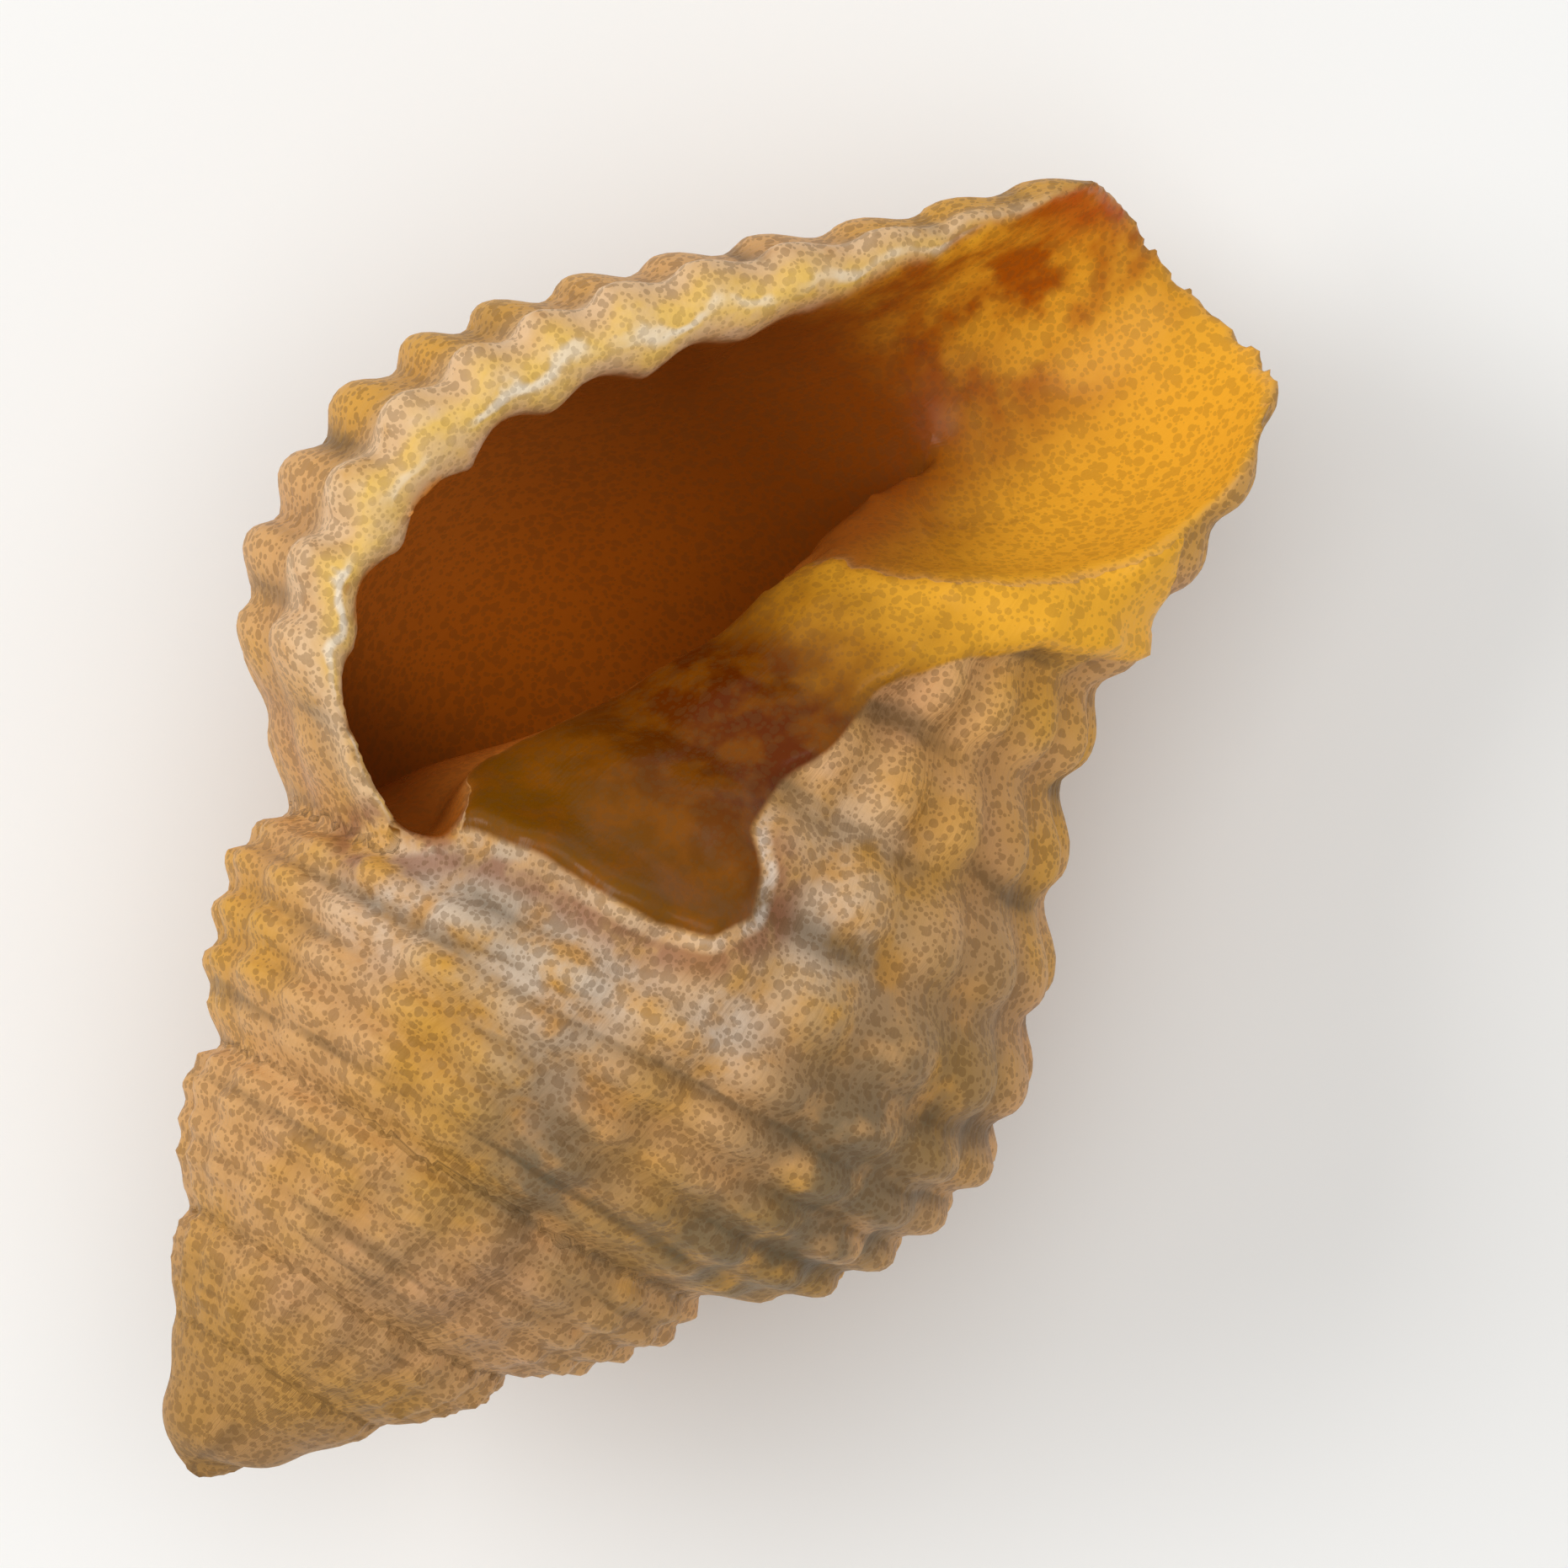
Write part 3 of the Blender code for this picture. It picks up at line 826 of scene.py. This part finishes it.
    rough = addNode(tree, "MapRange", {"Value": glazed, "To Min": finish["outerRoughness"],
                                       "To Max": finish["glazedRoughness"]}).outputs["Result"]
    rough = addNode(tree, "Math", {0: uneven, 1: 0.16, 2: rough}, operation="MULTIPLY_ADD").outputs[0]
    rough = addNode(tree, "Math", {0: rough, 1: 0.08}, operation="SUBTRACT").outputs[0]
    tree.links.new(rough, shader.inputs["Roughness"])

    # fine growth lines and pits, which the glaze all but hides
    lines = noise(stretched(winding, 60.0, 0.35, 1.0), 1.0, 3.0)
    pits = noise(inMm, 9.0, 4.0)
    fine = addNode(tree, "Math", {0: lines, 1: times(tree, pits, 0.45)}, operation="ADD").outputs[0]
    onSkin = addNode(tree, "Math", {0: 1.0, 1: glazed}, operation="SUBTRACT").outputs[0]
    onSkin = addNode(tree, "Math", {0: onSkin, 1: 0.85, 2: 0.15}, operation="MULTIPLY_ADD").outputs[0]
    bump = addNode(tree, "Bump", {"Height": times(tree, fine, onSkin), "Strength": 0.55,
                                  "Distance": finish["bumpDepth"]})
    tree.links.new(bump.outputs["Normal"], shader.inputs["Normal"])
    shader.inputs["IOR"].default_value = 1.5
    shader.inputs["Specular IOR Level"].default_value = 0.15
    return material


def addLight(name, energy, size, place, target):
    bpy.ops.object.light_add(type="AREA", location=place)
    light = bpy.context.object
    light.name = name
    light.data.energy = energy
    light.data.size = size
    light.rotation_euler = (Vector(target) - Vector(place)).to_track_quat("-Z", "Y").to_euler()


def growShell():
    shell = growWhorls()
    shapeSkin(shell)
    closeEnds(shell)
    whole = {"places": coordinates(shell), "surface": surfaceOf(shell)}
    for name in ("turn", "across", "share"):
        whole[name] = readValue(shell, name)
    print("the whorls are grown:", len(whole["places"]), "points")
    for cutter in (hollowWhorl(), canalTrough()):
        whole[cutter.name] = surfaceOf(cutter)
        cutAway(shell, cutter)
        bpy.data.objects.remove(cutter, do_unlink=True)
    reskin(shell, reskinSize)
    print("the skin is even:", len(shell.data.vertices), "points")
    return shell, whole


sorting = {
    "close": 0.09,          # a point this near a surface lies on it
    "slack": 0.05,          # and is counted from here on
    "meeting": 0.35,        # the hollow and the trough run into each other
    "offSkin": 0.22,
    "underSkin": 0.25,
    "lipHalf": 0.35,        # half the width in which the cut edge is looked for
    "lipFrom": 10.5,
    "lipWall": 2.6,
    "lipInner": 3.0,        # the cut edge stays outside this radius, or a cone at the far end
    "lipSlope": 0.55,
    "lipEnd": 28.9,
}


def measure(shell, whole):
    # finds what each point of the even skin belongs to
    places = coordinates(shell)
    toHollow = distanceTo(places, whole["hollow"])
    toTrough = distanceTo(places, whole["canal"])
    toSkin = distanceTo(places, whole["surface"])
    flatSkin = whole["places"][:len(whole["turn"])]
    nearest = nearestOf(places, flatSkin)
    found = {name: whole[name][nearest] for name in ("turn", "across", "share")}
    along = places[:, 0]
    angle = np.arctan2(places[:, 2], places[:, 1])
    lipLine = coil["lipAngle"] + coil["lipSweep"] * cornerReach(0.0, np.maximum(along, 1.0))
    radius = np.hypot(places[:, 1], places[:, 2])
    turn = found["turn"]
    sweep = coil["lipSweep"] * (cornerReach(turn, along) + cornerReach(turn + math.tau, along))
    off = angle - coil["lipAngle"] - sweep - turn
    turn = turn + (off + math.pi) % math.tau - math.pi
    onBase = found["share"] > 0.0
    wound = np.log(np.maximum(along, 0.5) / coil["sutureAtLip"]) / math.log(coil["growth"])
    atSuture = coil["sutureAtLip"] * growthAt(turn + math.tau)
    found["turn"] = turn
    found["across"] = np.where(onBase, 1.0, clamped(wound - turn / math.tau))
    found["share"] = clamped((along - atSuture) / (coil["length"] - atSuture)) * onBase
    close, meeting = sorting["close"], sorting["meeting"]
    onCap = np.abs((angle - lipLine) * radius) < sorting["lipHalf"]
    onCap &= (along > sorting["lipFrom"]) & (toHollow < sorting["lipWall"])
    found["inside"] = (toHollow < close) & (toHollow <= toSkin)
    found["trough"] = (toTrough < close) & (toTrough <= toSkin) & ~found["inside"]
    found["inside"] |= (toHollow < meeting) & (toTrough < meeting) & ~found["trough"]
    apart = np.linalg.norm(places - flatSkin[nearest], axis=1)
    cone = sorting["lipSlope"] * (sorting["lipEnd"] - along)
    onCap &= radius > np.minimum(sorting["lipInner"], cone)
    found["lip"] = onCap & (apart > sorting["offSkin"]) & ~found["inside"] & ~found["trough"]
    found["inside"] |= (toSkin > sorting["underSkin"]) & ~found["trough"] & ~found["lip"]
    fromSkin = np.maximum(apart - sorting["slack"], 0.0)
    found["lipAcross"] = clamped(fromSkin / (fromSkin + toHollow + 1e-6))
    found["skin"] = ~(found["inside"] | found["trough"] | found["lip"])
    hollowPoints = np.array(whole["hollow"][0])
    rings = nearestOf(places, hollowPoints) // mouth["points"]
    found["back"] = clamped((rings - mouth["aheadRings"]) / (mouth["steps"] - 1)) * mouth["turns"]
    joint = clamped(1.0 - np.maximum(toHollow, toTrough) / softening["joint"])
    brim = np.maximum(np.minimum(toTrough, toHollow), toSkin)
    brim = clamped(1.0 - brim / softening["brim"]) * (angle > lipLine + softening["brimPast"])
    brim = brim * (along > softening["brimFrom"]) * (along < softening["brimTo"])
    found["joint"] = clamped(softening["strength"] * np.maximum(joint, brim))
    return found


lipEdge = {
    "bulge": 0.42,          # how far the round edge stands out in front
    "reach": 8,             # passes that spread the zone, and those that smooth it
    "widen": 2.5,
    "passes": 5,
}


def shapeLip(shell, found):
    # the cut edge becomes a full round lip
    places = coordinates(shell)
    along = places[:, 0]
    radius = np.hypot(places[:, 1], places[:, 2])
    angle = np.arctan2(places[:, 2], places[:, 1])
    lipLine = coil["lipAngle"] + coil["lipSweep"] * cornerReach(0.0, np.maximum(along, 1.0))
    t = found["lipAcross"]
    bulge = lipEdge["bulge"] * np.sqrt(clamped(4.0 * t * (1.0 - t)))
    flat = lipLine + bulge / np.maximum(radius, 1.0)
    angle = np.where(found["lip"], flat, angle)
    places = aroundAxis(along, radius, angle)
    zone = spread(shell, found["lip"].astype(float), lipEdge["reach"])
    zone = clamped(zone * lipEdge["widen"])
    moveVertices(shell, spread(shell, places, lipEdge["passes"], zone))


softening = {
    "joint": 0.8,           # mm, how far from a joint it reaches
    "brim": 0.45,
    "brimPast": 0.25,       # radians past the lip
    "brimFrom": 11.6,
    "brimTo": 24.0,
    "strength": 1.6,
    "widen": 1.5,
    "passes": 28,
    "tip": 2.6,             # the apex is smoothed up to here
    "tipPasses": 6,
}


def roundJoints(shell, found):
    # the folds where whorl, columella and canal meet flow into one another
    zone = clamped(softening["widen"] * spread(shell, found["joint"], 2))
    moveVertices(shell, spread(shell, coordinates(shell), softening["passes"], zone))
    tip = clamped(softening["tip"] - coordinates(shell)[:, 0])
    moveVertices(shell, spread(shell, coordinates(shell), softening["tipPasses"], tip))


def layCallus(shell, found):
    # beads drown in the callus, whose edge stands up a little
    places = coordinates(shell)
    roll = rest["roll"]
    v = -(places[:, 1] * math.cos(roll) - places[:, 2] * math.sin(roll))
    up = places[:, 1] * math.sin(roll) + places[:, 2] * math.cos(roll)
    u = places[:, 0]
    within = insideOutline(u, v, callus["edge"] + callus["rest"]) & (up > 0.0)
    within &= found["turn"] < callus["lastTurn"]
    gap = distanceToLine(u, v, callus["edge"])
    gap = np.where(within, gap, -gap)
    pad = clamped(gap / callus["fade"] + callus["lead"]) * found["skin"] * (up > 0.0)
    pad = np.where(within | (gap > -callus["overhang"]), pad, 0.0)
    covered = skin(found["turn"], found["across"], found["share"])
    smooth = skin(found["turn"], found["across"], found["share"], False)
    relief = np.linalg.norm(covered[:, 1:], axis=1) - np.linalg.norm(smooth[:, 1:], axis=1)
    found["relief"] = relief
    wide = callus["ridgeWidth"]
    ridge = callus["ridge"] * np.exp(-((gap - 0.5 * wide) / wide) ** 2)
    places = spread(shell, places, callus["passes"], callus["strength"] * pad)
    rise = spread(shell, pad * (callus["thickness"] + ridge), callus["risePasses"])
    radius = np.hypot(places[:, 1], places[:, 2])
    angle = np.arctan2(places[:, 2], places[:, 1])
    moveVertices(shell, aroundAxis(u, radius + rise, angle))
    found["pad"] = pad
    found["gap"] = np.where(found["skin"] & (up > 0.0), np.clip(gap, -1.0, 1.0), -1.0)
    above = clamped(up / spotFade)
    # dull dirt, and painted shade toward the lower right edge
    found["smudgeAndShade"] = spotsAt(u, v, above, smudgesAndShade)
    # pale patches that are painted highlights
    found["pale"] = spotsAt(u, v, above, paleHighlightSpots)


def apexOfSolid():
    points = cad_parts["shell"].data.vertices
    return min((point.co for point in points), key=lambda place: place.x)


def layDown(shell):
    tip = apexOfSolid()
    places = coordinates(shell)
    turned = aroundAxis(places[:, 0] - coil["tip"], np.hypot(places[:, 1], places[:, 2]),
                        np.arctan2(places[:, 2], places[:, 1]) + rest["roll"])
    placed = turned * metresPerMm + np.array(tip)
    placed[:, 1] += rest["lean"] * clamped((rest["leanFrom"] - places[:, 0]) / rest["leanOver"])
    # beads that would stand out of the box of the solid end at it
    moveVertices(shell, np.clip(placed, *cadBox))


marks = {                   # radians, and how broad a cord is beside its groove
    "brinkBack": 0.04,
    "brinkWidth": 0.16,
    "brinkFrom": -1.0,
    "grooveBreadth": 3.0,
}


def makeShell():
    shell, whole = growShell()
    found = measure(shell, whole)
    print("measured")
    shapeLip(shell, found)
    roundJoints(shell, found)
    layCallus(shell, found)
    moveVertices(shell, spread(shell, coordinates(shell), 1, 1.0 - found["skin"]))
    cord = sculpture["spireCords"] * found["across"] + sculpture["baseCords"] * found["share"]
    for name in ("inside", "trough", "lip"):
        writeValue(shell, name, spread(shell, found[name].astype(float), 2))
    turn, onSkin = found["turn"], found["skin"]
    brink = clamped(1.0 + (turn + marks["brinkBack"]) / marks["brinkWidth"])
    found["brink"] = brink * onSkin * (turn > marks["brinkFrom"])
    # masks for painted shade along the grooves and between the beads
    found["groove"] = (1.0 - rounded(cord + 0.5, marks["grooveBreadth"])) * onSkin
    found["valleyShade"] = clamped(-found["relief"] / sculpture["sunk"]) * onSkin * (1.0 - found["pad"])
    for name in ("lipAcross", "back", "smudgeAndShade", "pale", "groove", "valleyShade", "brink"):
        writeValue(shell, name, spread(shell, found[name], 2))
    writeValue(shell, "gap", spread(shell, found["gap"], 1))
    winding = shell.data.attributes.new("winding", "FLOAT_VECTOR", "POINT")
    laid = np.stack([turn, cord, 0.0 * cord], axis=1)
    winding.data.foreach_set("vector", laid.ravel())
    layDown(shell)
    outOfSight = found["inside"] & (found["back"] > mouth["seenBack"])
    print("out of sight:", outOfSight.sum(), "points")
    thinOut(shell, outOfSight, faceLimit)
    print("thinned to", sum(len(face.vertices) - 2 for face in shell.data.polygons), "triangles")
    bpy.context.view_layer.objects.active = shell
    shell.data.materials.clear()
    shell.data.materials.append(aragonite())
    shell.data.polygons.foreach_set("material_index", np.zeros(len(shell.data.polygons), np.int32))
    shell.data.polygons.foreach_set("use_smooth", np.ones(len(shell.data.polygons), bool))
    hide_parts("shell")
    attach(shell, "root")


studio = {                  # watts and metres
    "paper": "#FAFAF8",
    "aim": (0, 0, 0.006),
    "lights": (
        ("key", 0.46, 0.16, (-0.10, 0.24, 0.24)),
        ("top", 0.50, 0.30, (0.02, 0.0, 0.40)),
        ("fill", 0.06, 0.5, (0.10, -0.30, 0.25)),
    ),
    "surroundings": 0.48,
}


def addStudio():
    bpy.ops.mesh.primitive_plane_add(size=2.0, location=(0, 0, 0))
    floor = newPiece("floor")
    paper = bpy.data.materials.new("paper, pale and matt")
    paper.use_nodes = True
    sockets = paper.node_tree.nodes["Principled BSDF"].inputs
    sockets["Base Color"].default_value = hexColour(studio["paper"])
    sockets["Roughness"].default_value = 0.9
    floor.data.materials.append(paper)
    for name, energy, size, place in studio["lights"]:
        addLight(name, energy, size, place, studio["aim"])
    world = bpy.data.worlds.new("studio")
    world.use_nodes = True
    around = world.node_tree.nodes["Background"].inputs
    around["Color"].default_value = (1, 1, 1, 1)
    around["Strength"].default_value = studio["surroundings"]
    bpy.context.scene.world = world
    bpy.context.scene.view_settings.view_transform = "Standard"


# The camera looks straight down, a long way off, with the apex to the lower left of the picture
view = {
    "sensor": 36.0,
    "lens": 330.0,
    "width": 0.02741,       # metres across the picture, at the level below
    "level": 0.007,
    "along": 0.00218,
    "fromTip": -0.000656,
    "turned": math.radians(-52.0),
    "nearest": 0.01,
}


def addCamera():
    tip = apexOfSolid()
    bpy.ops.object.camera_add()
    camera = bpy.context.object
    camera.data.sensor_width = view["sensor"]
    camera.data.lens = view["lens"]
    height = camera.data.lens / camera.data.sensor_width * view["width"]
    camera.location = (view["along"], tip.y + view["fromTip"], view["level"] + height)
    camera.rotation_euler = (0, 0, view["turned"])
    camera.data.clip_start = view["nearest"]
    bpy.context.scene.camera = camera


makeShell()
addStudio()
addCamera()
